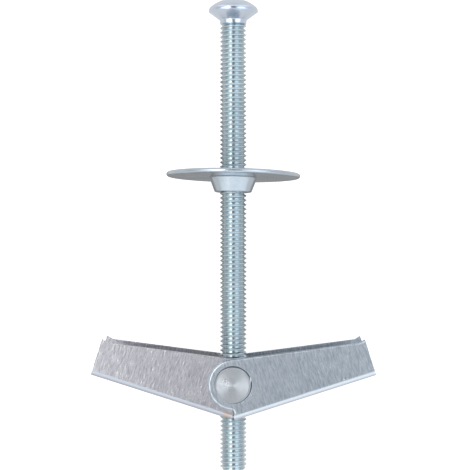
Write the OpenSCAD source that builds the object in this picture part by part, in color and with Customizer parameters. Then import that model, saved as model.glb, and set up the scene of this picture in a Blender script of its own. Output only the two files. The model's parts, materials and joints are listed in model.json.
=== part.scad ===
// Spring toggle bolt: a machine screw with a raised countersunk head, a pressed washer with a
// drawn collar, and a spring toggle that folds to pass a hole and opens behind the wall.
//
// Every piece is laid out in the bolt's own frame first: the origin is the pivot of the wings,
// +Z runs along the screw to its head, +X along one wing, and -Y to the near side of the toggle.
// lie_down() then lays the whole bolt on the floor plane, near side up and head toward +Y.

/* [Screw] */
// Outer diameter of the thread
thread_d = 5.9; // [5:0.1:8]
// Distance from one thread to the next
thread_pitch = 1; // [0.8:0.05:1.25]
// Depth of the thread
thread_depth = 0.57; // [0.4:0.01:0.6]
// Length of the screw from its tip to the lower edge of its head's rim
screw_l = 102.5; // [85:0.1:130]
// Length of the screw that stands out below the pivot
tip_l = 19.9; // [18:0.1:26]
// Bevel at the tip
tip_bevel = 0.9; // [0.2:0.1:1.4]

/* [Screw head] */
// Diameter of the head
head_d = 11.1; // [10:0.1:14]
// Full angle of the cone under the head
cone_angle = 104; // [90:1:110]
// Height of the straight band round the head's rim
rim_h = 0.9; // [0.7:0.1:1.4]
// Rounding at both edges of the rim
rim_round = 0.3; // [0.1:0.05:0.35]
// Rise of the dome above the rim
dome_rise = 2.3; // [1.2:0.1:2.8]
// Width of the cross recess, from the end of one slot to the end of the other
recess_w = 6.8; // [5:0.1:7.2]
// Depth of the cross recess
recess_depth = 3.4; // [2.5:0.1:3.8]
// Width of one slot of the recess
recess_slot = 1.5; // [1:0.1:1.8]

/* [Washer] */
// Diameter of the washer's disc
washer_d = 30; // [24:0.5:38]
// Thickness of the disc
washer_t = 1; // [0.8:0.05:1.2]
// Distance from the pivot to the middle of the disc
washer_z = 46.2; // [43:0.1:58]
// Depth of the drawn collar below the disc
collar_l = 3.3; // [3:0.1:4]
// Thickness of the collar, which drawing has thinned
collar_t = 0.8; // [0.6:0.05:1]
// Half angle of the collar
collar_draft = 21; // [12:1:25]
// Radius of the bend where the disc turns down into the collar
mouth_r = 1.2; // [0.8:0.1:1.4]
// Radius between the disc's underside and the collar
collar_fillet = 0.4; // [0.2:0.05:0.6]
// Rounding at the collar's lower edge
collar_round = 0.35; // [0.1:0.05:0.5]
// Lean of the washer's near edge toward the head
washer_lean = 2; // [0:0.5:3]
// Lean of the washer's right edge toward the toggle
washer_list = 1; // [0:0.5:2]

/* [Barrel nut] */
// Wall of the barrel nut beside its threaded hole
barrel_wall = 1.05; // [0.9:0.05:2]
// How far each end of the barrel nut stands out of the wings
barrel_proud = 0.3; // [0.1:0.05:1]
// Bevel at the ends of the barrel nut
barrel_bevel = 0.3; // [0.1:0.05:0.6]

/* [Wings] */
// Thickness of the wings' folded sheet
sheet_t = 1; // [0.7:0.05:1.2]
// Length of a wing from the pivot to its tip
wing_l = 30.55; // [24:0.5:40]
// Rise of the open wings toward the head
wing_rise = 17.7; // [12:0.1:22]
// Depth of a wing's side at its tip, without the barb
tip_depth = 7.7; // [6.5:0.1:9]
// Sheet left round the pivot hole of an ear
ear_rim = 1.4; // [1.2:0.1:1.8]
// Free space between an ear and the other wing's web
fold_gap = 1.15; // [0.8:0.05:2]
// Outer radius of the fold between web and sides
fold_r = 1.3; // [1.2:0.1:1.8]
// How far the sides' cut edges stand back from the end of the web
side_set = 0.35; // [0.1:0.05:0.6]
// Radius between an ear and the cut edge below it
ear_fillet = 0.4; // [0.3:0.1:1.2]
// Length of the barb at the tip of each side
barb_l = 1.5; // [0.8:0.1:3]
// Height of the barb at the tip of each side
barb_h = 0.65; // [0.3:0.05:1.2]

/* [Spring] */
// Diameter of the spring wire
wire_d = 0.6; // [0.4:0.05:0.7]
// Distance from one turn to the next
coil_pitch = 0.64; // [0.64:0.01:0.9]
// Radius of the bends where the wire crosses the screw
wire_bend = 1.2; // [0.8:0.1:1.6]
// How far the legs reach along the wings
leg_reach = 10; // [8:0.5:16]

/* [Fits] */
// Free space all round the screw in the washer's collar
collar_gap = 0.3; // [0.2:0.05:0.5]
// Free space all round the screw in the barrel nut
nut_gap = 0.05; // [0.03:0.01:0.1]
// Free space all round the barrel nut in the ears
pivot_gap = 0.1; // [0.04:0.01:0.1]
// Free space between two nested sides
nest_gap = 0.1; // [0.05:0.05:0.3]
// Free space round the screw in the wings' slots
slot_gap = 0.3; // [0.2:0.05:0.6]
// Free space between the two webs where they stop each other
stop_gap = 0.06; // [0.04:0.02:0.2]
// Free space between the spring and what lies beside it
spring_gap = 0.15; // [0.1:0.05:0.3]

/* [Hidden] */
$fn = 96;

// Screw, with its heights above the pivot
thread_r = thread_d / 2;
head_r = head_d / 2;
rim_low = screw_l - tip_l;
rim_high = rim_low + rim_h;
dome_r = (head_r * head_r + dome_rise * dome_rise) / (2 * dome_rise);
dome_z = rim_high + dome_rise - dome_r;
neck_z = rim_low - (head_r - thread_r) / tan(cone_angle / 2);

// Barrel nut, ears and spring coil, as radii about the pivot
barrel_r = thread_r + barrel_wall;
hole_r = barrel_r + pivot_gap;
ear_r = hole_r + ear_rim;
wire_r = wire_d / 2;
coil_r = barrel_r + spring_gap + wire_r;

// Web of a wing, as distances from the pivot, and where it begins beside the other wing's web
web_in = ear_r + fold_gap;
web_out = web_in + sheet_t;
web_start = (stop_gap / 2 - web_in * sin(wing_rise)) / cos(wing_rise);
side_start = web_start + side_set;

// The spring's leg touches the web at leg_end and leaves the coil at leg_angle
leg_end = [leg_reach, wire_r + spring_gap - web_in];
leg_angle = wing_rise + atan2(leg_end[1], leg_end[0]) - acos(coil_r / norm(leg_end));
cross_angle = -540;
near_turns = (leg_angle - cross_angle) / 360;
far_turns = near_turns - 0.5;

// Sides of the wings, as distances from the middle of the bolt
coil_start = thread_r + spring_gap + wire_r;
nest_in = coil_start + near_turns * coil_pitch + wire_r + spring_gap;
nest_out = nest_in + sheet_t;
side_in = nest_out + nest_gap;
side_out = side_in + sheet_t;
barrel_l = 2 * (side_out + barrel_proud);

// Rest: the washer's rim and the far fold of the left wing, all along, touch the floor. In the
// bolt's frame the floor's outward normal is [-tan(wing_rise) * slope, 1, -slope], which is
// square to that fold. The slope follows from the two reaches being equal, step by step.
fold_depth = web_out - fold_r;
washer_axis = [cos(washer_lean) * sin(washer_list), sin(washer_lean),
    cos(washer_lean) * cos(washer_list)];
function floor_normal(slope) = [-tan(wing_rise) * slope, 1, -slope];
function rim_reach(normal) =
    (washer_d - washer_t) / 2 * norm(cross(normal, washer_axis)) + washer_t / 2 * norm(normal);
function fold_reach(normal) = side_out - fold_r + fold_r * norm(normal);
function rest_slope(slope, steps) = steps == 0 ? slope : let (n = floor_normal(slope))
    rest_slope((rim_reach(n) - fold_reach(n)) / (washer_z + fold_depth / cos(wing_rise)), steps - 1);
lie_slope = rest_slope(0, 8);
lie_normal = floor_normal(lie_slope);
lie_roll = -atan(tan(wing_rise) * lie_slope);
lie_tilt = asin(lie_slope / norm(lie_normal));
lie_lift = (fold_reach(lie_normal) + lie_slope * fold_depth / cos(wing_rise)) / norm(lie_normal);
head_reach = dome_z * cos(lie_tilt) + dome_r;
tip_reach = tip_l * cos(lie_tilt) + (thread_r - tip_bevel) * sin(lie_tilt);

// Lays a piece from the bolt's own frame on the floor plane, centred lengthwise
module lie_down() {
    translate([0, (tip_reach - head_reach) / 2, lie_lift])
        rotate([lie_tilt - 90, 0, 0]) rotate([0, 0, lie_roll])
            children();
}

// Half section of the head, from the neck to the top of the dome
module head_section() {
    cone_half = cone_angle / 2;
    high_x = head_r - rim_round;
    high_z = dome_z + sqrt(pow(dome_r - rim_round, 2) - high_x * high_x);
    low_z = rim_low + rim_round * tan(cone_half / 2);
    intersection() {
        union() {
            // Cone and rim below the dome
            polygon([[0, neck_z], [thread_r, neck_z],
                [high_x + rim_round * cos(cone_half), low_z - rim_round * sin(cone_half)],
                [head_r, low_z], [head_r, high_z], [0, high_z]]);
            translate([high_x, low_z]) circle(r = rim_round);
            translate([high_x, high_z]) circle(r = rim_round);
            // Dome, as far out as the rounding of the rim
            intersection() {
                translate([0, dome_z]) circle(r = dome_r);
                translate([0, rim_low]) square([high_x, rim_h + dome_rise + 1]);
            }
        }
        translate([0, neck_z]) square([head_r, dome_z + dome_r]);
    }
}

// Cross recess: slots that a cone narrows toward the bottom
module cross_recess() {
    top_z = dome_z + dome_r;
    translate([0, 0, top_z - recess_depth]) rotate([0, 0, 45]) intersection() {
        cylinder(h = recess_depth + 0.5, r1 = recess_slot, r2 = recess_w / 2);
        union() {
            for (turn = [0, 90])
                rotate([0, 0, turn])
                    translate([-recess_w / 2 - 1, -recess_slot / 2, 0])
                        cube([recess_w + 2, recess_slot, recess_depth + 0.5]);
        }
    }
}

// Half section of the threaded shank. The thread's grooves run round as rings, without its helix
module shank_section() {
    crest = thread_pitch / 8;
    flank = thread_depth * tan(30);
    root_r = thread_r - thread_depth;
    first_z = tip_bevel - tip_l + crest;
    grooves = floor((neck_z - first_z) / thread_pitch);
    polygon([
        [0, -tip_l], [thread_r - tip_bevel, -tip_l], [thread_r, tip_bevel - tip_l],
        for (i = [0 : grooves - 1]) let (low = first_z + i * thread_pitch, high = low + thread_pitch - crest)
            each [[thread_r, low], [root_r, low + flank], [root_r, high - flank], [thread_r, high]],
        [thread_r, neck_z], [0, neck_z]
    ]);
}

module screw() {
    color([0.72, 0.79, 0.80]) difference() {
        union() {
            rotate_extrude() shank_section();
            rotate_extrude() head_section();
        }
        cross_recess();
    }
}

// Half section of the washer, with the middle of the disc at height 0
module washer_section() {
    top = washer_t / 2;
    low = -top - collar_l;
    bore = thread_r + collar_gap;
    slope = tan(collar_draft);
    out = [cos(collar_draft), -sin(collar_draft)];
    foot_r = bore + collar_t / cos(collar_draft);
    root_r = foot_r + collar_l * slope;
    // Centres of the mouth's bend, the collar's lower rounding and the fillet below the disc
    mouth = [bore + (top - mouth_r - low) * slope + mouth_r / cos(collar_draft), top - mouth_r];
    foot = [foot_r + collar_round * slope - collar_round / cos(collar_draft), low + collar_round];
    fillet = [foot_r + (-top - collar_fillet - low) * slope + collar_fillet / cos(collar_draft),
        -top - collar_fillet];
    difference() {
        union() {
            // Disc with a rounded edge
            translate([0, -top]) square([washer_d / 2 - top, washer_t]);
            translate([washer_d / 2 - top, 0]) circle(r = top);
            // Collar down to its rounded foot
            polygon([[0, low], [foot[0], low], foot + collar_round * out,
                [foot_r - (top + low) * slope, -top], [0, -top]]);
            translate(foot) circle(r = collar_round);
            // Fillet between the collar and the disc
            difference() {
                polygon([fillet - collar_fillet * out, fillet, [fillet[0], -top], [root_r, -top]]);
                translate(fillet) circle(r = collar_fillet);
            }
        }
        // Inside of the collar and its rounded mouth
        polygon([[0, low - 1], [bore - slope, low - 1], mouth - mouth_r * out, [0, mouth[1]]]);
        difference() {
            polygon([[0, low], mouth - mouth_r * out, [mouth[0], top], [mouth[0], top + 1], [0, top + 1]]);
            translate(mouth) circle(r = mouth_r);
        }
    }
}

module washer() {
    color([0.70, 0.72, 0.76])
        translate([0, 0, washer_z]) rotate([-washer_lean, washer_list, 0])
            rotate_extrude() washer_section();
}

module barrel_nut() {
    end = barrel_l / 2;
    color([0.66, 0.69, 0.70]) difference() {
        rotate([90, 0, 0]) rotate_extrude()
            polygon([[0, -end], [barrel_r - barrel_bevel, -end], [barrel_r, barrel_bevel - end],
                [barrel_r, end - barrel_bevel], [barrel_r - barrel_bevel, end], [0, end]]);
        cylinder(h = 3 * barrel_r, r = thread_r + nut_gap, center = true);
    }
}

// Side of a wing, seen along the pivot: ear, tapered flank with its barb, and web below
module side_outline() {
    tip = [wing_l, tip_depth - web_out];
    top_angle = atan2(tip[1], tip[0]) + acos(ear_r / norm(tip));
    ear_top = ear_r * [cos(top_angle), sin(top_angle)];
    barb_start = tip + (ear_top - tip) * barb_l / norm(ear_top - tip);
    fillet_x = side_start - ear_fillet;
    fillet = [fillet_x, -sqrt(pow(ear_r + ear_fillet, 2) - fillet_x * fillet_x)];
    circle(r = ear_r);
    polygon([[web_start, -web_out], [wing_l, -web_out], tip + [0, barb_h], barb_start,
        ear_top, [side_start, 0], [side_start, side_set - web_in], [web_start, -web_in]]);
    difference() {
        polygon([fillet, fillet + [ear_fillet, 0], [0, 0], fillet * ear_r / norm(fillet)]);
        translate(fillet) circle(r = ear_fillet);
    }
}

// Trough between two side faces, with rounded lower corners and open at the top
module trough(left, right, low, corner) {
    high = 2 * ear_r;
    translate([left + corner, low]) square([right - left - 2 * corner, high - low]);
    translate([left, low + corner]) square([right - left, high - low - corner]);
    for (x = [left + corner, right - corner])
        translate([x, low + corner]) circle(r = corner);
}

// One wing along +X before it rises, its outer side near and its nested side far
module wing() {
    slot_r = thread_r + slot_gap;
    slot_end = (thread_r - web_in * sin(wing_rise)) / cos(wing_rise) + slot_gap;
    difference() {
        intersection() {
            rotate([90, 0, 0])
                linear_extrude(height = 4 * side_out, center = true) side_outline();
            rotate([90, 0, 90]) linear_extrude(height = 4 * wing_l, center = true) difference() {
                trough(-side_out, nest_out, -web_out, fold_r);
                trough(-side_in, nest_in, -web_in, fold_r - sheet_t);
            }
        }
        // Pivot holes in both ears
        rotate([90, 0, 0]) cylinder(h = 4 * side_out, r = hole_r, center = true);
        // Slot for the screw in the web
        translate([slot_end - slot_r, 0, -web_out - 1]) {
            cylinder(h = sheet_t + 2, r = slot_r);
            translate([-2 * slot_r, -slot_r, 0]) cube([2 * slot_r, 2 * slot_r, sheet_t + 2]);
        }
    }
}

module wing_right() {
    color([0.66, 0.71, 0.72]) rotate([0, -wing_rise, 0]) wing();
}

module wing_left() {
    color([0.71, 0.71, 0.74]) rotate([0, 0, 180]) rotate([0, -wing_rise, 0]) wing();
}

// A station of the spring wire: where its middle lies and which way points off the barrel nut
function on_coil(angle, y) = [
    [coil_r * cos(angle), y, coil_r * sin(angle)],
    [cos(angle), 0, sin(angle)]
];

// The same for a round corner on the unrolled coil, where middle is [angle, y]
function on_corner(middle, turn) =
    on_coil(middle[0] + wire_bend * cos(turn) * 180 / (PI * coil_r), middle[1] + wire_bend * sin(turn));

// The end of a leg, which runs straight off the coil in the plane of its last turn
function on_leg(side, y) = let (a = wing_rise, e = leg_end) [
    [side * (e[0] * cos(a) - e[1] * sin(a)), y, e[0] * sin(a) + e[1] * cos(a)],
    [side * cos(leg_angle), 0, sin(leg_angle)]
];

// Stations along the whole wire, from the right wing's leg to the left wing's leg
function wire_stations() = let (
    steps_per_turn = 24,
    corner_angle = wire_bend * 180 / (PI * coil_r),
    near_steps = ceil(near_turns * steps_per_turn),
    far_steps = ceil(far_turns * steps_per_turn),
    near_from = leg_angle,
    near_to = cross_angle + corner_angle,
    far_from = cross_angle - corner_angle,
    far_to = cross_angle - far_turns * 360,
    near_y = coil_start + near_turns * coil_pitch,
    far_y = coil_start + far_turns * coil_pitch
) [
    on_leg(1, -near_y),
    for (i = [0 : near_steps - 1]) let (f = i / near_steps)
        on_coil(near_from + f * (near_to - near_from), -near_y + f * (near_y - coil_start)),
    for (turn = [270 : -22.5 : 180])
        on_corner([cross_angle + corner_angle, wire_bend - coil_start], turn),
    for (turn = [0 : 22.5 : 90])
        on_corner([cross_angle - corner_angle, coil_start - wire_bend], turn),
    for (i = [1 : far_steps]) let (f = i / far_steps)
        on_coil(far_from + f * (far_to - far_from), coil_start + f * (far_y - coil_start)),
    on_leg(-1, far_y)
];

module spring() {
    sides = 8;
    stations = wire_stations();
    last = len(stations) - 1;
    points = [
        for (i = [0 : last]) let (
            run = stations[min(i + 1, last)][0] - stations[max(i - 1, 0)][0],
            off = stations[i][1],
            across = cross(run, off) / norm(cross(run, off))
        )
            for (k = [0 : sides - 1])
                stations[i][0] + wire_r * (cos(360 * k / sides) * off + sin(360 * k / sides) * across)
    ];
    skin = [
        for (i = [0 : last - 1], k = [0 : sides - 1]) let (
            a = i * sides + k,
            b = i * sides + (k + 1) % sides
        )
            each [[a, b, b + sides], [a, b + sides, a + sides]]
    ];
    caps = [[for (k = [sides - 1 : -1 : 0]) k], [for (k = [0 : sides - 1]) last * sides + k]];
    color([0.55, 0.57, 0.58]) polyhedron(points = points, faces = concat(skin, caps), convexity = 8);
}

lie_down() screw();
lie_down() washer();
lie_down() barrel_nut();
lie_down() wing_left();
lie_down() wing_right();
lie_down() spring();
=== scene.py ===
"""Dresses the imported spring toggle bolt: rolled thread, turned nut, folded sheet and wound wire.

Every piece is modelled in the bolt's own frame, in millimetres: the origin is the wings' pivot,
+Z runs along the screw to its head, +X along the right wing and -Y toward the near side. BoltFrame
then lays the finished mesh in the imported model's frame, in metres.
"""

import json
import logging
import math
from contextlib import contextmanager
from dataclasses import dataclass
from enum import Enum
from typing import Any, Dict, Iterator, List, Optional, Sequence, Tuple

import bpy
from mathutils import Matrix, Vector


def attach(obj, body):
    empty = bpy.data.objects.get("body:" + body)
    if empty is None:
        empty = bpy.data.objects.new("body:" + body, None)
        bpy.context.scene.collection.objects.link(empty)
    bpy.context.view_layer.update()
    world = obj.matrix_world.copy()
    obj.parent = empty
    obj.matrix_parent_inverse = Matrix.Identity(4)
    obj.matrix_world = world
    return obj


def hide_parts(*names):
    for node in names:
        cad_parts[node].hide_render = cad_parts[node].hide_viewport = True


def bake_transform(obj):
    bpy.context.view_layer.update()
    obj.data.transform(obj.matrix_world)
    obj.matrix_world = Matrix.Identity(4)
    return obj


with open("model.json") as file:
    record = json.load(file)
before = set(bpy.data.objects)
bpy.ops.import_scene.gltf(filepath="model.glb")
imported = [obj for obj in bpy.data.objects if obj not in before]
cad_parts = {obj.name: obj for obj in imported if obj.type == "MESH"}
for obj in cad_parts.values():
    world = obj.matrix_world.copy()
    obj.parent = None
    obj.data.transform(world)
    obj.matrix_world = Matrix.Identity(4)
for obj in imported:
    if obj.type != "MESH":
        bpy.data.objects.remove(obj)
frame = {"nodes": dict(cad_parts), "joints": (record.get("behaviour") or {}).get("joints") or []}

log = logging.getLogger("toggle_bolt")

MM = 0.001

Point = Tuple[float, float]
Place = Tuple[float, float, float]
Tree = bpy.types.NodeTree
Socket = bpy.types.NodeSocket


class Side(Enum):
    """The two wings, each with the direction that it points along X."""

    LEFT = -1
    RIGHT = 1

    @property
    def body(self) -> str:
        """Name of the wing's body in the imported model."""
        return f"wing_{self.name.lower()}"


# ---------------------------------------------------------------------------------------------
# Modelling by hand
# ---------------------------------------------------------------------------------------------


def clear_selection() -> None:
    """Leaves nothing selected, so that an operator acts on the new primitive alone."""
    if bpy.context.object and bpy.context.object.mode != "OBJECT":
        bpy.ops.object.mode_set(mode="OBJECT")
    bpy.ops.object.select_all(action="DESELECT")


def take(*pieces: bpy.types.Object) -> None:
    """Selects these objects alone, the first of them active."""
    clear_selection()
    for piece in pieces:
        piece.select_set(True)
    bpy.context.view_layer.objects.active = pieces[0]


@contextmanager
def editing(piece: bpy.types.Object) -> Iterator[None]:
    """Opens a piece in edit mode with its whole mesh selected, and closes it afterwards."""
    take(piece)
    bpy.ops.object.mode_set(mode="EDIT")
    bpy.ops.mesh.select_all(action="SELECT")
    yield
    bpy.ops.object.mode_set(mode="OBJECT")


def apply_modifier(piece: bpy.types.Object, kind: str, **settings: Any) -> None:
    """Adds a modifier and applies it at once.

    Args:
        piece: The mesh object.
        kind: Blender's name for the modifier type.
        settings: Values set on the modifier before it is applied.
    """
    take(piece)
    modifier = piece.modifiers.new(kind.lower(), kind)
    for key, value in settings.items():
        setattr(modifier, key, value)
    bpy.ops.object.modifier_apply(modifier=modifier.name)


def trace(name: str, points: Sequence[Point]) -> bpy.types.Object:
    """Draws a half section as an open line in the XZ plane.

    Args:
        name: Name of the new object.
        points: Radius and height of each corner, in order.

    Returns:
        The object that holds the line.
    """
    clear_selection()
    bpy.ops.mesh.primitive_plane_add(size=1, location=(0, 0, 0))
    piece = bpy.context.object
    piece.name = name
    with editing(piece):
        bpy.ops.mesh.merge(type="CENTER")
        bpy.ops.transform.translate(value=(points[0][0], 0, points[0][1]))
        for before, after in zip(points, points[1:]):
            step = (after[0] - before[0], 0, after[1] - before[1])
            bpy.ops.mesh.extrude_region_move(TRANSFORM_OT_translate={"value": step})
    return piece


def close_seams(piece: bpy.types.Object, distance: float = 1e-4) -> None:
    """Merges doubled points and turns every face outwards."""
    with editing(piece):
        bpy.ops.mesh.remove_doubles(threshold=distance)
        bpy.ops.mesh.normals_make_consistent(inside=False)


def turn(name: str, points: Sequence[Point], steps: int = 96) -> bpy.types.Object:
    """Turns a half section round the Z axis, as on a lathe.

    Args:
        name: Name of the new object.
        points: Radius and height of each corner of the section.
        steps: Number of steps in the full turn.

    Returns:
        The closed solid of revolution.
    """
    piece = trace(name, points)
    with editing(piece):
        bpy.ops.mesh.spin(steps=steps, angle=2 * math.pi, center=(0, 0, 0), axis=(0, 0, 1))
    close_seams(piece)
    return piece


def arc(centre: Point, radius: float, start: float, end: float, steps: int) -> List[Point]:
    """Points on an arc of a half section.

    Args:
        centre: Radius and height of the arc's middle.
        radius: Radius of the arc.
        start: Angle of the first point in degrees, from outwards toward up.
        end: Angle of the last point in degrees.
        steps: Number of segments.

    Returns:
        The points, both ends included.
    """
    angles = [math.radians(start + (end - start) * i / steps) for i in range(steps + 1)]
    return [(centre[0] + radius * math.cos(a), centre[1] + radius * math.sin(a)) for a in angles]


def cut(piece: bpy.types.Object, tool: bpy.types.Object, operation: str) -> None:
    """Cuts a piece with a tool, and throws the tool away."""
    apply_modifier(piece, "BOOLEAN", object=tool, operation=operation, solver="EXACT")
    take(tool)
    bpy.ops.object.delete()


def smooth(piece: bpy.types.Object, degrees: float) -> None:
    """Shades a piece smooth, except across edges sharper than the angle."""
    take(piece)
    bpy.ops.object.shade_smooth_by_angle(angle=math.radians(degrees))


@dataclass(frozen=True)
class BoltFrame:
    """The bolt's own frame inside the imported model's frame."""

    matrix: Matrix

    @classmethod
    def from_joints(cls, joints: Sequence[Dict[str, Any]]) -> "BoltFrame":
        """Reads the frame off the wings' pivot and the toggle's travel.

        Args:
            joints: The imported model's joints.

        Returns:
            The frame, whose matrix takes millimetres on the bolt to metres in the model.
        """
        by_name = {joint["name"]: joint for joint in joints}
        up = Vector(by_name["toggle_travel"]["axis"]).normalized()
        away = Vector(by_name["wing_left_fold"]["axis"])
        away = (away - up * away.dot(up)).normalized()
        right = away.cross(up)
        turn_part = Matrix((right, away, up)).transposed().to_4x4()
        origin = Vector(by_name["wing_left_fold"]["pos_m"])
        return cls(Matrix.Translation(origin) @ turn_part)

    def point(self, place: Sequence[float]) -> Vector:
        """A place on the bolt, in metres in the model."""
        return self.matrix @ (Vector(place) * MM)

    def direction(self, way: Sequence[float]) -> Vector:
        """A direction on the bolt, in the model."""
        return self.matrix.to_3x3() @ Vector(way)

    def lay(self, piece: bpy.types.Object) -> None:
        """Puts a finished piece in the model, with its place in its mesh."""
        take(piece)
        piece.matrix_world = self.matrix @ Matrix.Scale(MM, 4)
        bpy.ops.object.transform_apply(location=True, rotation=True, scale=True)

    def pattern_turn(self, rise: float = 0.0, half_turn: bool = False) -> Place:
        """Euler angles of a frame that lies along a wing, for a Mapping node.

        Args:
            rise: Rise of the wing in degrees.
            half_turn: Whether the wing points along -X.

        Returns:
            The XYZ angles in radians.
        """
        turned = Matrix.Rotation(math.pi if half_turn else 0.0, 3, "Z")
        risen = Matrix.Rotation(-math.radians(rise), 3, "Y")
        return tuple((self.matrix.to_3x3() @ turned @ risen).to_euler())


# ---------------------------------------------------------------------------------------------
# Finishes
# ---------------------------------------------------------------------------------------------


def linear(code: str) -> Tuple[float, float, float, float]:
    """Turns an sRGB hex value such as #C0C8CC to linear colour."""
    parts = [int(code[i : i + 2], 16) / 255 for i in (1, 3, 5)]
    light = [p / 12.92 if p <= 0.04045 else ((p + 0.055) / 1.055) ** 2.4 for p in parts]
    return tuple(light + [1.0])


def add_node(
    tree: Tree,
    kind: str,
    settings: Optional[Dict[str, Any]] = None,
    inputs: Optional[Dict[Any, Any]] = None,
) -> bpy.types.Node:
    """Adds a node with its settings, values and links.

    Args:
        tree: The node tree.
        kind: Blender's name for the node type.
        settings: Properties of the node itself. A colour ramp takes "stops".
        inputs: For each socket, by name or index, a value or the output that feeds it.

    Returns:
        The new node.
    """
    node = tree.nodes.new(kind)
    for key, value in (settings or {}).items():
        if key == "stops":
            ramp = node.color_ramp
            while len(ramp.elements) > 1:
                ramp.elements.remove(ramp.elements[-1])
            ramp.elements[0].position, ramp.elements[0].color = value[0]
            for position, colour in value[1:]:
                ramp.elements.new(position).color = colour
        else:
            setattr(node, key, value)
    for key, value in (inputs or {}).items():
        socket = node.inputs[key]
        if isinstance(value, Socket):
            tree.links.new(value, socket)
        else:
            socket.default_value = value
    return node


def calc(tree: Tree, operation: str, *values: Any) -> Socket:
    """The result of one Math node on these values or outputs."""
    settings = {"operation": operation}
    return add_node(tree, "ShaderNodeMath", settings, dict(enumerate(values))).outputs[0]


def length_of(tree: Tree, vector: Socket) -> Socket:
    """The length of a vector."""
    settings = {"operation": "LENGTH"}
    return add_node(tree, "ShaderNodeVectorMath", settings, {0: vector}).outputs["Value"]


def noise(tree: Tree, place: Socket, scale: float, detail: float, roughness: float) -> Socket:
    """Noise at a place, about 0.5 on average."""
    inputs = {"Vector": place, "Scale": scale, "Detail": detail, "Roughness": roughness}
    return add_node(tree, "ShaderNodeTexNoise", inputs=inputs).outputs["Fac"]


def mix_shaders(
    tree: Tree, share: Socket, one: bpy.types.Node, other: bpy.types.Node
) -> bpy.types.Node:
    """Mixes two shaders: the first alone at a share of 0, the second alone at 1."""
    inputs = {0: share, 1: one.outputs[0], 2: other.outputs[0]}
    return add_node(tree, "ShaderNodeMixShader", inputs=inputs)


def remap(
    tree: Tree, value: Socket, ends: Sequence[Any], levels: Sequence[Any], soft: bool = False
) -> Socket:
    """Maps one range to another and holds it at both ends, with a soft turn or a straight one."""
    settings = {"interpolation_type": "SMOOTHSTEP" if soft else "LINEAR"}
    inputs = dict(enumerate((value, *ends, *levels)))
    return add_node(tree, "ShaderNodeMapRange", settings, inputs).outputs[0]


def mix_colours(tree: Tree, share: Socket, one: Any, other: Any) -> Socket:
    """Mixes two colours: the first alone at a share of 0, the second alone at 1."""
    inputs = {0: share, 6: one, 7: other}
    return add_node(tree, "ShaderNodeMix", {"data_type": "RGBA"}, inputs).outputs[2]


def placed(tree: Tree, vector: Socket, **frame_values: Any) -> Socket:
    """A place or direction as seen from a frame with this Location, Rotation and Scale."""
    inputs = {"Vector": vector, **frame_values}
    settings = {"vector_type": "TEXTURE"}
    return add_node(tree, "ShaderNodeMapping", settings, inputs).outputs["Vector"]


def grey(level: float) -> Tuple[float, float, float, float]:
    """A neutral colour of this linear level."""
    return (level, level, level, 1.0)


def coat(piece: bpy.types.Object, material: bpy.types.Material) -> None:
    """Gives a piece this material alone."""
    piece.data.materials.clear()
    piece.data.materials.append(material)


@dataclass(frozen=True)
class ZincFinish:
    """Zinc plate on steel: a bright metal whose tint and gloss drift over a few millimetres."""

    name: str
    colour: str
    colour_other: str
    roughness: float
    roughness_other: float
    patch_mm: float
    grain_mm: float
    grain_depth_mm: float
    turn: Tuple[float, float, float] = (0.0, 0.0, 0.0)
    centre: Tuple[float, float, float] = (0.0, 0.0, 0.0)
    grain_stretch: Tuple[float, float, float] = (1.0, 1.0, 1.0)
    contrast: float = 0.15
    patch_share: float = 1.0
    grain_detail: float = 3.0
    # The noises keep within about this share on both sides of their middle
    noise_reach: float = 0.18

    def build(self) -> bpy.types.Material:
        """Makes the material.

        Returns:
            The material, with its colour, gloss and bump in nodes.
        """
        material = bpy.data.materials.new(self.name)
        material.use_nodes = True
        tree = material.node_tree
        shader = tree.nodes["Principled BSDF"]
        place = add_node(tree, "ShaderNodeTexCoord").outputs["Object"]
        on_piece = placed(
            tree, place, Location=self.centre, Rotation=self.turn, Scale=(MM, MM, MM)
        )
        patches = noise(tree, on_piece, 1 / self.patch_mm, 5.0, 0.6)
        streak = tuple(self.grain_mm * stretch for stretch in self.grain_stretch)
        streaked = placed(tree, on_piece, Scale=streak)
        grain = noise(tree, streaked, 1.0, self.grain_detail, 0.62)
        share = calc(tree, "MULTIPLY", patches, self.patch_share)
        both = calc(tree, "MULTIPLY_ADD", grain, self.contrast, share)
        middle = (self.contrast + self.patch_share) / 2
        reach = self.noise_reach * (self.contrast + self.patch_share)
        spread = remap(tree, both, (middle - reach, middle + reach), (0.0, 1.0))
        tint = mix_colours(tree, spread, linear(self.colour), linear(self.colour_other))
        gloss = remap(tree, spread, (0.0, 1.0), (self.roughness, self.roughness_other))
        bump = add_node(
            tree,
            "ShaderNodeBump",
            inputs={"Height": grain, "Distance": self.grain_depth_mm * MM, "Strength": 1.0},
        ).outputs["Normal"]
        tree.links.new(self.shade(tree, on_piece, tint), shader.inputs["Base Color"])
        tree.links.new(gloss, shader.inputs["Roughness"])
        tree.links.new(self.relief(tree, on_piece, bump), shader.inputs["Normal"])
        shader.inputs["Metallic"].default_value = 1.0
        return material

    def shade(self, tree: Tree, place: Socket, tint: Socket) -> Socket:
        """The final colour. Plain zinc keeps its tint."""
        return tint

    def relief(self, tree: Tree, place: Socket, normal: Socket) -> Socket:
        """The final normal. Plain zinc keeps its grain."""
        return normal


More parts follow.
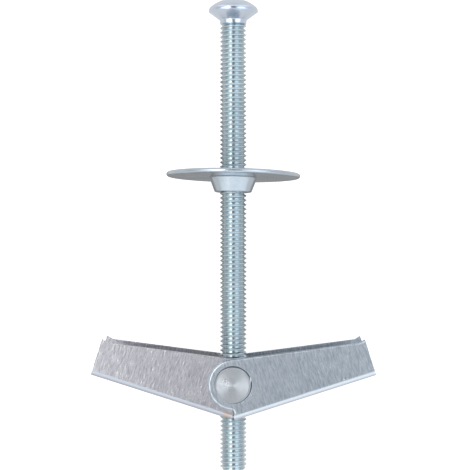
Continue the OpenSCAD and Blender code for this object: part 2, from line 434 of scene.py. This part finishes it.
@dataclass(frozen=True)
class SheetFinish(ZincFinish):
    """Galvanised sheet with a painted highlight on its folds, where the bend catches the light."""

    # The folds' painted highlight: its tint, the height where it starts, its soft edge and its
    # share
    fold_highlight_colour: str = "#F0F4F8"
    fold_height: float = -6.35
    fold_blend: float = 0.2
    fold_highlight_share: float = 0.9

    def shade(self, tree: Tree, place: Socket, tint: Socket) -> Socket:
        """Paints the folds' highlight: below the start of the folds, the sheet takes the
        highlight's plain tint.
        """
        height = add_node(tree, "ShaderNodeSeparateXYZ", inputs={0: place}).outputs[2]
        ends = (self.fold_height, self.fold_height - self.fold_blend)
        fold_light = remap(tree, height, ends, (0.0, self.fold_highlight_share))
        return mix_colours(tree, fold_light, tint, linear(self.fold_highlight_colour))


@dataclass(frozen=True)
class CutSheetFinish(SheetFinish):
    """Galvanised sheet with a warm brownish patch round one sheared corner."""

    # A warm brownish patch round the corner: its middle, reach, tint, plain core and share
    warm_patch_place: Tuple[float, float, float] = (0.0, 0.0, 0.0)
    warm_patch_radius_mm: float = 1.0
    warm_patch_colour: str = "#C6B2A4"
    warm_patch_core: float = 0.4
    warm_patch_share: float = 0.85

    def shade(self, tree: Tree, place: Socket, tint: Socket) -> Socket:
        """Warms the sheet round the sheared corner."""
        tint = super().shade(tree, place, tint)
        settings = {"operation": "DISTANCE"}
        inputs = {0: place, 1: self.warm_patch_place}
        away = add_node(tree, "ShaderNodeVectorMath", settings, inputs).outputs["Value"]
        ends = (self.warm_patch_core * self.warm_patch_radius_mm, self.warm_patch_radius_mm)
        near = remap(tree, away, ends, (self.warm_patch_share, 0.0), soft=True)
        return mix_colours(tree, near, tint, linear(self.warm_patch_colour))


@dataclass(frozen=True)
class HeadedFinish(ZincFinish):
    """Zinc on a screw, whose head takes its own tint from the neck up: painted light, for the
    different light that the head catches away from the thread.
    """

    head_lit_tint: str = "#FFFFFF"
    head_start: float = 0.0

    def shade(self, tree: Tree, place: Socket, tint: Socket) -> Socket:
        """Changes the tint from the neck up, painting in the head's different light."""
        height = add_node(tree, "ShaderNodeSeparateXYZ", inputs={0: place}).outputs[2]
        on_head = calc(tree, "GREATER_THAN", height, self.head_start)
        return mix_colours(tree, on_head, tint, linear(self.head_lit_tint))


@dataclass(frozen=True)
class TurnedFinish(ZincFinish):
    """Turned and plated steel: the tool's rings run round the bar's ends."""

    ring_mm: float = 0.3
    ring_depth_mm: float = 0.02

    def relief(self, tree: Tree, place: Socket, normal: Socket) -> Socket:
        """Adds the rings that the facing tool leaves."""
        parts = add_node(tree, "ShaderNodeSeparateXYZ", inputs={0: place}).outputs
        flat = add_node(tree, "ShaderNodeCombineXYZ", inputs={0: parts[0], 1: parts[2]}).outputs[0]
        out = length_of(tree, flat)
        count = calc(tree, "DIVIDE", out, self.ring_mm)
        ring = add_node(
            tree,
            "ShaderNodeTexNoise",
            {"noise_dimensions": "1D"},
            {"W": count, "Scale": 1.0, "Detail": 2.0, "Roughness": 0.7},
        ).outputs["Fac"]
        return add_node(
            tree,
            "ShaderNodeBump",
            inputs={
                "Height": ring,
                "Distance": self.ring_depth_mm * MM,
                "Strength": 1.0,
                "Normal": normal,
            },
        ).outputs["Normal"]


# ---------------------------------------------------------------------------------------------
# The bolt's pieces
# ---------------------------------------------------------------------------------------------


@dataclass
class Screw:
    """Machine screw with a rolled M6 thread and a raised countersunk head."""

    bolt: BoltFrame
    pitch: float = 1.0
    crest_r: float = 3.0
    root_r: float = 2.42
    tip_z: float = -19.9
    tip_bevel: float = 0.9
    neck_z: float = 80.88
    neck_l: float = 1.1
    neck_round: float = 0.25
    cone_half: float = 54.0
    head_r: float = 5.55
    rim_low: float = 82.75
    rim_round: float = 0.2
    shoulder_round: float = 1.2
    dome_r: float = 7.8462
    dome_z: float = 77.9538
    recess_depth: float = 3.4
    recess_w: float = 6.8
    recess_slot: float = 1.5
    recess_taper: float = 0.8
    steps: int = 48
    # Points closer than this are one, and where the thread's root lies at the tip
    seam: float = 0.004
    phase: float = 0.52

    def thread_section(self) -> List[Point]:
        """One pitch of the thread from root to root, with 60 degree flanks and rolled corners."""
        low, high = self.root_r, self.crest_r
        half = [
            (low, 0.0),
            (low + 0.03, 0.06),
            (low + 0.09, 0.12),
            (high - 0.22, 0.3),
            (high - 0.11, 0.37),
            (high - 0.03, 0.43),
        ]
        rest = [(radius, 1.0 - height) for radius, height in reversed(half)]
        return [(r, z * self.pitch) for r, z in half + [(high, 0.5)] + rest]

    def shank(self) -> bpy.types.Object:
        """Winds the thread, cuts it off square at both ends and bevels the tip.

        Returns:
            The threaded shank, closed at both ends.
        """
        # Two whole turns below the cut, so that the cut meets a closed section
        start = self.tip_z - 2.5 * self.pitch + self.phase
        piece = trace("screw_dressed", [(r, z + start) for r, z in self.thread_section()])
        turns = math.ceil((self.neck_z - start) / self.pitch) + 1
        apply_modifier(
            piece,
            "SCREW",
            axis="Z",
            angle=2 * math.pi,
            screw_offset=self.pitch,
            iterations=turns,
            steps=self.steps,
            render_steps=self.steps,
            use_merge_vertices=True,
            merge_threshold=self.seam,
            use_normal_calculate=True,
        )
        close_seams(piece, self.seam)
        for height, upper in ((self.tip_z, False), (self.neck_z - self.neck_l / 2, True)):
            with editing(piece):
                bpy.ops.mesh.bisect(
                    plane_co=(0, 0, height),
                    plane_no=(0, 0, 1),
                    use_fill=True,
                    clear_inner=not upper,
                    clear_outer=upper,
                )
        for vertex in piece.data.vertices:
            # A bevel of 45 degrees: the radius grows as fast as the height
            most = self.crest_r - self.tip_bevel + (vertex.co.z - self.tip_z)
            out = math.hypot(vertex.co.x, vertex.co.y)
            if out > most:
                vertex.co.x *= most / out
                vertex.co.y *= most / out
        close_seams(piece, self.seam)
        return piece

    def head_section(self) -> List[Point]:
        """Half section of the head, from its neck over the rim to the top of the dome."""
        cone = math.radians(self.cone_half)
        inner, shoulder = self.head_r - self.rim_round, self.head_r - self.shoulder_round
        low = self.rim_low + self.rim_round * math.tan(cone / 2)
        high = self.dome_z + math.sqrt((self.dome_r - self.shoulder_round) ** 2 - shoulder**2)
        dome_start = math.degrees(math.atan2(high - self.dome_z, shoulder))
        # A plain neck, as thick as the thread, with a small fillet under the cone
        neck_r = self.crest_r + 0.01
        reach = self.neck_round * math.tan(cone / 2)
        foot = self.neck_z - self.neck_l
        top = self.neck_z - reach
        points = [(0.0, foot), (self.root_r, foot), (neck_r, foot + 0.3), (neck_r, top)]
        fillet = (neck_r + self.neck_round, top)
        points += arc(fillet, self.neck_round, 180, 180 - self.cone_half, 6)[1:]
        points += arc((inner, low), self.rim_round, self.cone_half - 90, 0, 5)
        points += arc((shoulder, high), self.shoulder_round, 0, dome_start, 12)
        points += arc((0.0, self.dome_z), self.dome_r, dome_start, 90, 14)[1:]
        points[-1] = (0.0, self.dome_z + self.dome_r)
        return points

    def recess_tool(self, angle: float) -> bpy.types.Object:
        """One tapered slot of the cross recess, at an angle in degrees."""
        top = self.dome_z + self.dome_r
        floor = top - self.recess_depth
        height = self.recess_depth + 0.5
        clear_selection()
        bpy.ops.mesh.primitive_cube_add(size=1, location=(0, 0, floor + height / 2))
        slot = bpy.context.object
        slot.scale = (self.recess_w + 2, self.recess_slot, height)
        slot.rotation_euler = (0, 0, math.radians(angle))
        bpy.ops.object.transform_apply(location=True, rotation=True, scale=True)
        bpy.ops.object.mode_set(mode="EDIT")
        bpy.ops.mesh.select_all(action="DESELECT")
        bpy.ops.object.mode_set(mode="OBJECT")
        for vertex in slot.data.vertices:
            vertex.select = vertex.co.z < floor + 0.1
        bpy.ops.object.mode_set(mode="EDIT")
        taper = (self.recess_taper, self.recess_taper, 1.0)
        bpy.ops.transform.resize(value=taper, center_override=(0, 0, floor))
        bpy.ops.object.mode_set(mode="OBJECT")
        clear_selection()
        bpy.ops.mesh.primitive_cone_add(
            vertices=64,
            radius1=self.recess_slot * 0.75,
            radius2=self.recess_w / 2,
            depth=height,
            location=(0, 0, floor + height / 2),
        )
        cone = bpy.context.object
        bpy.ops.object.transform_apply(location=True, rotation=True, scale=True)
        cut(slot, cone, "INTERSECT")
        return slot

    def build(self) -> bpy.types.Object:
        """Models the whole screw.

        Returns:
            The screw, in place in the model.
        """
        shank = self.shank()
        head = turn("screw_head", self.head_section())
        for angle in (45, 135):
            cut(head, self.recess_tool(angle), "DIFFERENCE")
        smooth(head, 32)
        smooth(shank, 40)
        take(shank, head)
        bpy.ops.object.join()
        self.bolt.lay(shank)
        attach(shank, "screw")
        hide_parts("screw")
        return shank

    def dress(self, piece: bpy.types.Object) -> None:
        """Plates the screw."""
        finish = HeadedFinish(
            # Zinc plate with blue passivation: a cool sheen over bright metal
            name="zinc_plate_blue_passivated",
            colour="#D0DADD",
            colour_other="#C3CED3",
            # The head's tint is painted light: the head catches other light than the thread's
            # grooves
            head_lit_tint="#CFD8E4",
            head_start=self.neck_z - 0.9,
            roughness=0.17,
            roughness_other=0.26,
            patch_mm=5.0,
            grain_mm=0.35,
            grain_depth_mm=0.012,
            centre=tuple(self.bolt.point((0, 0, 0))),
            turn=self.bolt.pattern_turn(),
        )
        coat(piece, finish.build())


@dataclass
class Washer:
    """Loose washer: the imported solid, with the finish of pressed and plated sheet."""

    bolt: BoltFrame
    middle: Place = (0.0, 0.0, 46.2)

    def dress(self) -> bpy.types.Object:
        """Plates the washer.

        Returns:
            The washer's node.
        """
        finish = ZincFinish(
            # Pressed sheet, zinc plated: smoother than the screw, with faint cloudy patches
            name="zinc_plate_on_pressed_sheet",
            colour="#C4CCD4",
            colour_other="#B4BEC6",
            roughness=0.2,
            roughness_other=0.28,
            patch_mm=6.0,
            grain_mm=0.5,
            grain_depth_mm=0.01,
            centre=tuple(self.bolt.point(self.middle)),
            turn=self.bolt.pattern_turn(),
        )
        node = frame["nodes"]["washer"]
        coat(node, finish.build())
        return node


@dataclass
class BarrelNut:
    """Barrel nut: a turned bar across the screw, whose faced ends show in the ears."""

    bolt: BoltFrame
    radius: float = 3.94
    half_length: float = 7.06445
    bevel: float = 0.15
    bore_r: float = 3.0
    ring_pitch: float = 0.2
    ring_slope: float = 10.0
    # The nut hangs in the ears by its play, down and to the left
    settled: Place = (-0.11, 0.0, -0.09)

    def faced_end(self) -> List[Point]:
        """Half section of a faced end, from its rim to the middle, rippled by the facing tool."""
        edge = self.radius - self.bevel
        height = self.ring_pitch * math.tan(math.radians(self.ring_slope)) / math.pi
        count = int(edge / self.ring_pitch)
        points = [(self.radius, self.half_length - self.bevel), (edge, self.half_length)]
        for ring in range(count, 0, -1):
            radius = ring * self.ring_pitch - self.ring_pitch / 2
            if radius + self.ring_pitch / 2 < edge - 0.05:
                points.append((radius + self.ring_pitch / 2, self.half_length - height))
            points.append((radius, self.half_length))
        return points + [(0.0, self.half_length - height)]

    def build(self) -> bpy.types.Object:
        """Models the nut.

        Returns:
            The nut, in place in the model.
        """
        upper = self.faced_end()
        lower = [(r, -z) for r, z in reversed(upper)]
        piece = turn("barrel_nut_dressed", lower + upper, steps=96)
        take(piece)
        piece.location = self.settled
        piece.rotation_euler = (math.radians(90), 0, 0)
        bpy.ops.object.transform_apply(location=True, rotation=True, scale=True)
        clear_selection()
        bpy.ops.mesh.primitive_cylinder_add(vertices=96, radius=self.bore_r, depth=4 * self.radius)
        cut(piece, bpy.context.object, "DIFFERENCE")
        smooth(piece, 12)
        self.bolt.lay(piece)
        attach(piece, "barrel_nut")
        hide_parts("barrel_nut")
        return piece

    def dress(self, piece: bpy.types.Object) -> None:
        """Plates the nut."""
        finish = TurnedFinish(
            # Turned and zinc plated steel: fine rings that fan the light out across the end
            name="turned_steel_zinc_plated",
            colour="#D3D7DB",
            colour_other="#C6CBD0",
            roughness=0.26,
            roughness_other=0.34,
            patch_mm=3.0,
            grain_mm=0.4,
            grain_depth_mm=0.004,
            centre=tuple(self.bolt.point((0, 0, 0))),
            turn=self.bolt.pattern_turn(),
            ring_mm=0.3,
            ring_depth_mm=0.004,
        )
        coat(piece, finish.build())


@dataclass
class Wing:
    """One folded wing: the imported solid's shape with its sheared edges softened."""

    bolt: BoltFrame
    side: Side
    rise: float = 17.7
    # The punch rolls the outer side's edges over, and leaves all others nearly sharp
    rolled_edge: float = 0.45
    sharp_edge: float = 0.08
    side_out: float = 6.76444
    nest_in: float = 4.66444
    hole_r: float = 4.1
    tip: float = 30.55
    web_start: float = -2.09079
    side_set: float = 0.35
    web_in: float = 6.65
    ear_reach: float = 7.6
    sharp_angle: float = 50.0
    # How close a point lies to a plane or corner that it belongs to
    near: float = 0.01
    about: float = 0.05
    beside: float = 0.02

    def on_wing(self, point: Vector) -> Place:
        """A point of the model on the wing: along it, out to its outer side, up from the pivot."""
        place = self.bolt.matrix.inverted() @ point / MM
        sign = self.side.value
        rise = math.radians(self.rise)
        along = sign * place.x * math.cos(rise) + place.z * math.sin(rise)
        up = place.z * math.cos(rise) - sign * place.x * math.sin(rise)
        return along, -sign * place.y, up

    def rolled(self, ends: Sequence[Vector]) -> bool:
        """Whether an edge lies on the outer side's outline, other than its hole or its end cuts."""
        places = [self.on_wing(end) for end in ends]
        outer = all(abs(out - self.side_out) < self.near for _, out, _ in places)
        at_end = any(
            all(abs(along - end) < self.about for along, _, _ in places)
            for end in (self.tip, self.web_start)
        )
        in_hole = all(math.hypot(along, up) < self.hole_r + self.about for along, _, up in places)
        return outer and not at_end and not in_hole

    def weigh_edges(self, piece: bpy.types.Object) -> None:
        """Gives each sharp edge its share of the rolled edge's radius."""
        mesh = piece.data
        weights = mesh.attributes.new("bevel_weight_edge", "FLOAT", "EDGE")
        faces: Dict[Tuple[int, int], List[Vector]] = {}
        for polygon in mesh.polygons:
            for key in polygon.edge_keys:
                faces.setdefault(key, []).append(polygon.normal)
        for edge in mesh.edges:
            normals = faces.get(edge.key, [])
            if len(normals) == 2 and normals[0].angle(normals[1]) > math.radians(self.sharp_angle):
                rolled = self.rolled([mesh.vertices[i].co for i in edge.vertices])
                weight = 1.0 if rolled else self.sharp_edge / self.rolled_edge
                weights.data[edge.index].value = weight

    def close_corner(self, piece: bpy.types.Object) -> None:
        """Lets the nested side's cut edge lean out to the web's end, as the press leaves it."""
        side_start = self.web_start + self.side_set
        rise = math.radians(self.rise)
        way = self.bolt.direction((self.side.value * math.cos(rise), 0, math.sin(rise)))
        lean = way * self.side_set * MM
        corner_top = -self.web_in + self.side_set + self.beside
        for vertex in piece.data.vertices:
            along, out, up = self.on_wing(vertex.co)
            nested = out < -self.nest_in + self.near
            if nested and abs(along - side_start) < self.beside and up < corner_top:
                vertex.co -= lean

    def gather_strays(self, piece: bpy.types.Object) -> None:
        """Brings back points that the bevel throws out, where a rolled edge meets a sharp one."""
        vertices = piece.data.vertices
        stray = set()
        for vertex in vertices:
            along, _, up = self.on_wing(vertex.co)
            past_web = along < self.web_start - self.beside
            if past_web and math.hypot(along, up) > self.ear_reach:
                stray.add(vertex.index)
        neighbours: Dict[int, List[Vector]] = {index: [] for index in stray}
        for edge in piece.data.edges:
            for one, other in (edge.vertices, reversed(edge.vertices)):
                if one in stray and other not in stray:
                    neighbours[one].append(vertices[other].co.copy())
        for index, places in neighbours.items():
            vertices[index].co = sum(places, Vector()) / len(places)
        log.info("%s: %d stray points gathered", self.side.body, len(stray))

    def build(self) -> bpy.types.Object:
        """Copies the wing and rounds its sheared edges.

        Returns:
            The wing, in place in the model.
        """
        node = frame["nodes"][self.side.body]
        take(node)
        bpy.ops.object.duplicate()
        piece = bpy.context.object
        piece.name = f"{self.side.body}_dressed"
        piece.parent = None
        piece.matrix_world = Matrix.Identity(4)
        with editing(piece):
            bpy.ops.mesh.customdata_custom_splitnormals_clear()
            bpy.ops.mesh.remove_doubles(threshold=1e-7)
            bpy.ops.mesh.tris_convert_to_quads()
            bpy.ops.mesh.dissolve_limited(angle_limit=math.radians(0.5))
        self.close_corner(piece)
        self.weigh_edges(piece)
        apply_modifier(
            piece,
            "BEVEL",
            width=self.rolled_edge * MM,
            segments=5,
            limit_method="WEIGHT",
            use_clamp_overlap=False,
        )
        self.gather_strays(piece)
        smooth(piece, 40)
        apply_modifier(piece, "WEIGHTED_NORMAL", keep_sharp=True, weight=80)
        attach(piece, self.side.body)
        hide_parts(self.side.body)
        return piece

    def dress(self, piece: bpy.types.Object) -> None:
        """Galvanises the wing, with rolling streaks across its length."""
        left = self.side is Side.LEFT
        shared = dict(
            roughness=0.26,
            roughness_other=0.34,
            patch_mm=4.0,
            # Streaks are a third of a millimetre wide and some millimetres long
            grain_mm=0.32,
            grain_stretch=(1.0, 4.4, 5.2),
            grain_depth_mm=0.045,
            contrast=1.25,
            patch_share=0.4,
            grain_detail=5.0,
            centre=tuple(self.bolt.point((0, 0, 0))),
            turn=self.bolt.pattern_turn(self.rise, left),
        )
        if left:
            finish: ZincFinish = CutSheetFinish(
                # Galvanised sheet: a soft lilac grey. Both wings are of one sheet, and their
                # tints differ only because the light on them does, so part of it is lighting
                name="galvanised_sheet_lilac",
                colour="#E8E7ED",
                colour_other="#999AA2",
                # The fold colour is a painted highlight on the bend
                fold_highlight_colour="#BDC0C8",
                warm_patch_place=(-0.75, 5.7, -7.0),
                warm_patch_radius_mm=1.3,
                **shared,
            )
        else:
            finish = SheetFinish(
                # The same galvanised sheet in its own light: a cooler, bluer grey
                name="galvanised_sheet_blue",
                colour="#E3EAF2",
                colour_other="#96A1AC",
                # The fold colour is a painted highlight on the bend
                fold_highlight_colour="#D4D9DF",
                **shared,
            )
        coat(piece, finish.build())


@dataclass
class TorsionSpring:
    """Double torsion spring of one wire, modelled as two halves that meet behind the screw."""

    bolt: BoltFrame
    wire_r: float = 0.3
    coil_r: float = 4.45
    coil_start: float = 3.4
    coil_pitch: float = 0.64
    near_turns: float = 1.27257
    leg_angle: float = -81.8763
    cross_angle: float = -540.0
    bend: float = 1.2
    rise: float = 17.7
    leg_end: Point = (10.0, -6.2)
    slip: float = 0.1
    steps_per_turn: int = 40
    steps_per_bend: int = 6

    def on_coil(self, angle: float, y: float) -> Place:
        """A point on the coil at an angle in degrees."""
        a = math.radians(angle)
        return (self.coil_r * math.cos(a), y, self.coil_r * math.sin(a))

    def on_leg(self, side: Side, y: float) -> Place:
        """The end of a leg under its wing."""
        a = math.radians(self.rise)
        along, down = self.leg_end
        return (
            side.value * (along * math.cos(a) - down * math.sin(a)),
            y,
            along * math.sin(a) + down * math.cos(a),
        )

    def sign_and_turns(self, side: Side) -> Tuple[int, float]:
        """Which way a half winds along the nut, and how many turns it has."""
        left = side is Side.LEFT
        return (1, self.near_turns - 0.5) if left else (-1, self.near_turns)

    def half(self, side: Side) -> List[Place]:
        """The wire's middle line, from behind the screw to the end of one leg."""
        sign, turns = self.sign_and_turns(side)
        corner = math.degrees(self.bend / self.coil_r)
        first = self.cross_angle - sign * corner
        last = self.cross_angle - turns * 360 if side is Side.LEFT else self.leg_angle
        far = sign * (self.coil_start + turns * self.coil_pitch)
        start = sign * self.coil_start
        halfway = sign * (self.coil_start - self.bend) / 2
        line = [self.on_coil(self.cross_angle, y) for y in (0.0, halfway)]
        for i in range(self.steps_per_bend + 1):
            swing = math.radians(90 * i / self.steps_per_bend)
            angle = self.cross_angle - sign * corner * (1 - math.cos(swing))
            line.append(self.on_coil(angle, start - sign * self.bend * (1 - math.sin(swing))))
        count = math.ceil(turns * self.steps_per_turn)
        for i in range(1, count + 1):
            f = i / count
            line.append(self.on_coil(first + f * (last - first), start + f * (far - start)))
        line.append(self.on_leg(side, far))
        return line

    def build(self, side: Side) -> bpy.types.Object:
        """Bends one half of the wire.

        Args:
            side: The wing that this half presses on.

        Returns:
            The half, in place in the model.
        """
        points = self.half(side)
        curve = bpy.data.curves.new(f"spring_{side.name.lower()}", "CURVE")
        curve.dimensions = "3D"
        curve.bevel_depth = self.wire_r
        curve.bevel_resolution = 4
        curve.use_fill_caps = True
        spline = curve.splines.new("POLY")
        spline.points.add(len(points) - 1)
        for point, place in zip(spline.points, points):
            point.co = (*place, 1.0)
        piece = bpy.data.objects.new(curve.name, curve)
        bpy.context.scene.collection.objects.link(piece)
        take(piece)
        bpy.ops.object.convert(target="MESH")
        piece = bpy.context.object
        close_seams(piece)
        smooth(piece, 50)
        self.bolt.lay(piece)
        sign, turns = self.sign_and_turns(side)
        leg_near = self.coil_start + turns * self.coil_pitch - self.wire_r
        start = self.bolt.point((0, sign * (leg_near - self.slip), 0))
        end = self.bolt.point((0, sign * leg_near, 0))
        side.body
        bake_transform(piece)
        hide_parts("spring")
        return piece

    def dress(self, pieces: Sequence[bpy.types.Object]) -> None:
        """Gives both halves the same drawn wire."""
        finish = ZincFinish(
            # Hard drawn spring steel: darker than the plating, with faint draw lines
            name="drawn_spring_steel",
            colour="#9A9FA3",
            colour_other="#878C90",
            roughness=0.28,
            roughness_other=0.4,
            patch_mm=2.0,
            grain_mm=0.15,
            grain_depth_mm=0.005,
            centre=tuple(self.bolt.point((0, 0, 0))),
        ).build()
        for piece in pieces:
            coat(piece, finish)


# ---------------------------------------------------------------------------------------------
# Studio
# ---------------------------------------------------------------------------------------------


@dataclass
class Studio:
    """White floor, soft surround with panels at both sides, and the camera above the bolt."""

    bolt: BoltFrame
    camera_place: Place = (0.386, -304.0, 32.85)
    focal_px: float = 1357.0
    image_px: float = 470.0
    floor_size: float = 4.0
    brightest: float = 3.2
    # Light round the screw's axis, from behind the left, past the camera, to behind the right
    around: Tuple[Tuple[float, str, float], ...] = (
        (0.000, "#F4F6FF", 0.85),
        (0.100, "#F0F6FA", 0.75),
        (0.200, "#F0F6FA", 0.72),
        (0.330, "#EEF8FC", 0.76),
        (0.378, "#F0FAFC", 0.92),
        (0.398, "#FFFFFF", 1.80),
        (0.418, "#FFFFFF", 3.20),
        (0.445, "#FFFFFF", 3.20),
        (0.458, "#FFFFFF", 0.90),
        (0.467, "#F0F4F4", 0.02),
        (0.518, "#F0F4F4", 0.02),
        (0.540, "#E4F2FF", 0.66),
        (0.580, "#E4F2FF", 1.25),
        (0.612, "#E4F2FF", 1.45),
        (0.640, "#E6F2FF", 1.08),
        (0.700, "#E8F2FF", 0.90),
        (0.850, "#F0F4FF", 0.90),
        (1.000, "#F4F6FF", 0.85),
    )
    # Light along the screw's axis, from straight below the tip to straight beyond the head
    along: Tuple[Tuple[float, str, float], ...] = (
        (0.00, "#F0F6FF", 1.25),
        (0.12, "#F2FAFF", 1.45),
        (0.40, "#FFFFFF", 1.10),
        (0.70, "#F8F8FA", 0.95),
        (0.84, "#F8F8FA", 1.30),
        (0.95, "#F0F2FA", 1.00),
        (1.00, "#F0F2FA", 0.80),
    )
    # Directions along the screw where the light of the sides gives way to that of the ends
    tip_end: Point = (-0.5, -0.3)
    head_end: Point = (0.4, 0.7)
    # The camera's own reflection, as a dark oval: half width, half height, level and soft edge
    dark_width: float = 0.16
    dark_height: float = 0.36
    dark_level: float = 0.35
    dark_edge: Point = (0.7, 1.1)
    # The paper: its lift for the eye, and for metal its level and that of the shade under the bolt
    floor_lift: float = 0.7
    paper_level: float = 0.85
    shade_level: float = 0.38
    shade_middle: Place = (0.0, 10.7, 40.0)
    shade_size: Place = (0.024, 0.05, 0.028)
    shade_edge: Point = (0.8, 1.2)
    # The panels and the shade were shaped to suit the view from straight above

    def camera(self) -> None:
        """Hangs the camera over the bolt, square to the wings' pivot."""
        bpy.ops.object.camera_add()
        camera = bpy.context.object
        right, up = self.bolt.direction((1, 0, 0)), self.bolt.direction((0, 0, 1))
        back = self.bolt.direction((0, -1, 0))
        turned = Matrix((right, up, back)).transposed().to_4x4()
        camera.matrix_world = Matrix.Translation(self.bolt.point(self.camera_place)) @ turned
        camera.data.sensor_width = 36.0
        camera.data.lens = 36.0 * self.focal_px / self.image_px
        camera.data.clip_start, camera.data.clip_end = 0.01, 20.0
        bpy.context.scene.camera = camera

    def floor(self) -> bpy.types.Object:
        """Lays a white floor that keeps only a faint shadow.

        Returns:
            The floor.
        """
        clear_selection()
        bpy.ops.mesh.primitive_plane_add(size=self.floor_size, location=(0, 0, 0))
        piece = bpy.context.object
        piece.name = "floor"
        material = bpy.data.materials.new("matt_white_paper")
        material.use_nodes = True
        tree = material.node_tree
        shader = tree.nodes["Principled BSDF"]
        shader.inputs["Base Color"].default_value = linear("#F2F2F2")
        shader.inputs["Roughness"].default_value = 0.9
        shader.inputs["Specular IOR Level"].default_value = 0.1
        rays = add_node(tree, "ShaderNodeLightPath").outputs
        seen = calc(tree, "MAXIMUM", rays["Is Camera Ray"], rays["Is Transmission Ray"])
        lift = calc(tree, "MULTIPLY", seen, self.floor_lift)
        glow = add_node(tree, "ShaderNodeEmission", inputs={"Color": grey(1.0), "Strength": lift})
        inputs = {0: shader.outputs[0], 1: glow.outputs[0]}
        plain = add_node(tree, "ShaderNodeAddShader", inputs=inputs)
        way = add_node(tree, "ShaderNodeTexCoord").outputs["Object"]
        oval = placed(
            tree,
            way,
            Location=self.bolt.point(self.shade_middle),
            Rotation=self.bolt.pattern_turn(),
            Scale=self.shade_size,
        )
        off = length_of(tree, oval)
        level = remap(tree, off, self.shade_edge, (self.shade_level, self.paper_level), soft=True)
        inputs = {"Color": grey(1.0), "Strength": level}
        mirrored = add_node(tree, "ShaderNodeEmission", inputs=inputs)
        both = mix_shaders(tree, rays["Is Glossy Ray"], plain, mirrored)
        tree.links.new(both.outputs[0], tree.nodes["Material Output"].inputs["Surface"])
        piece.data.materials.append(material)
        return piece

    def band(self, tree: Tree, place: Socket, levels: Sequence[Tuple[float, str, float]]) -> Socket:
        """The room's light at a place from 0 to 1, from places, tints and light levels."""
        stops = [
            (at, tuple(channel * level / self.brightest for channel in linear(code)[:3]) + (1.0,))
            for at, code, level in levels
        ]
        return add_node(tree, "ShaderNodeValToRGB", {"stops": stops}, {0: place}).outputs["Color"]

    def surround(self) -> None:
        """Fills the room: plain white to the eye and to matt things, panels and gaps to metal."""
        world = bpy.data.worlds.new("soft_room")
        bpy.context.scene.world = world
        world.use_nodes = True
        tree = world.node_tree
        tree.nodes.clear()
        way = add_node(tree, "ShaderNodeTexCoord").outputs["Generated"]
        turned = placed(tree, way, Rotation=self.bolt.pattern_turn())
        parts = add_node(tree, "ShaderNodeSeparateXYZ", inputs={0: turned}).outputs
        near = calc(tree, "MULTIPLY", parts[1], -1.0)
        angle = calc(tree, "ARCTAN2", parts[0], near)
        round_screw = remap(tree, angle, (-math.pi, math.pi), (0.0, 1.0))
        along_screw = remap(tree, parts[2], (-1.0, 1.0), (0.0, 1.0))
        below = remap(tree, parts[2], self.tip_end, (1.0, 0.0), soft=True)
        at_ends = remap(tree, parts[2], self.head_end, (below, 1.0), soft=True)
        sides = self.band(tree, round_screw, self.around)
        ends = self.band(tree, along_screw, self.along)
        panels = mix_colours(tree, at_ends, sides, ends)
        across = calc(tree, "DIVIDE", parts[0], self.dark_width)
        upward = calc(tree, "DIVIDE", parts[2], self.dark_height)
        oval = add_node(tree, "ShaderNodeCombineXYZ", inputs={0: across, 2: upward}).outputs[0]
        off = length_of(tree, oval)
        # The oval hangs in front only: whatever lies behind counts as outside it
        behind = calc(tree, "LESS_THAN", near, 0.0)
        apart = calc(tree, "ADD", off, behind)
        dark = remap(tree, apart, self.dark_edge, (1.0, 0.0), soft=True)
        shown = mix_colours(tree, dark, panels, grey(self.dark_level / self.brightest))
        inputs = {"Color": shown, "Strength": self.brightest}
        room = add_node(tree, "ShaderNodeBackground", inputs=inputs)
        plain = add_node(tree, "ShaderNodeBackground", inputs={"Color": grey(1.0), "Strength": 0.6})
        white = add_node(tree, "ShaderNodeBackground", inputs={"Color": grey(1.0), "Strength": 1.0})
        rays = add_node(tree, "ShaderNodeLightPath").outputs
        shiny = calc(tree, "MAXIMUM", rays["Is Glossy Ray"], rays["Is Transmission Ray"])
        first = mix_shaders(tree, shiny, plain, room)
        second = mix_shaders(tree, rays["Is Camera Ray"], first, white)
        add_node(tree, "ShaderNodeOutputWorld", inputs={"Surface": second.outputs[0]})

    def lamp(self, name: str, place: Place, target: Place, size: Point, power: float) -> None:
        """Hangs one soft box.

        Args:
            name: Name of the light.
            place: Where it hangs, in millimetres on the bolt.
            target: What it faces.
            size: Width and height in metres.
            power: Power in watts.
        """
        bpy.ops.object.light_add(type="AREA")
        light = bpy.context.object
        light.name = name
        light.data.shape = "RECTANGLE"
        light.data.size, light.data.size_y = size
        light.data.energy = power
        at = self.bolt.point(place)
        light.location = at
        light.rotation_mode = "QUATERNION"
        light.rotation_quaternion = (self.bolt.point(target) - at).to_track_quat("-Z", "Y")

    def build(self) -> None:
        """Sets up the whole studio."""
        self.camera()
        self.floor()
        self.surround()
        self.lamp("softbox_left", (-500, -700, 120), (0, 0, 30), (0.5, 0.7), 1.2)
        self.lamp("softbox_right", (550, -700, 60), (0, 0, 30), (0.5, 0.7), 1.0)
        view = bpy.context.scene.view_settings
        view.view_transform = "Standard"


# ---------------------------------------------------------------------------------------------
# Assembly
# ---------------------------------------------------------------------------------------------


def main() -> None:
    """Builds every piece in order."""
    logging.basicConfig(level=logging.INFO, format="%(name)s: %(message)s")
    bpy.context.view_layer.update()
    bolt = BoltFrame.from_joints(frame["joints"])
    Studio(bolt).build()

    screw = Screw(bolt)
    piece = screw.build()
    screw.dress(piece)
    log.info("screw: %d points", len(piece.data.vertices))

    Washer(bolt).dress()
    log.info("washer: packed solid, plated")

    nut = BarrelNut(bolt)
    piece = nut.build()
    nut.dress(piece)
    log.info("barrel nut: %d points", len(piece.data.vertices))

    for side in Side:
        wing = Wing(bolt, side)
        piece = wing.build()
        wing.dress(piece)
        log.info("%s: %d points", side.body, len(piece.data.vertices))

    spring = TorsionSpring(bolt)
    halves = [spring.build(side) for side in Side]
    spring.dress(halves)
    log.info("spring: %d points", sum(len(half.data.vertices) for half in halves))


if __name__ == "__main__":
    main()
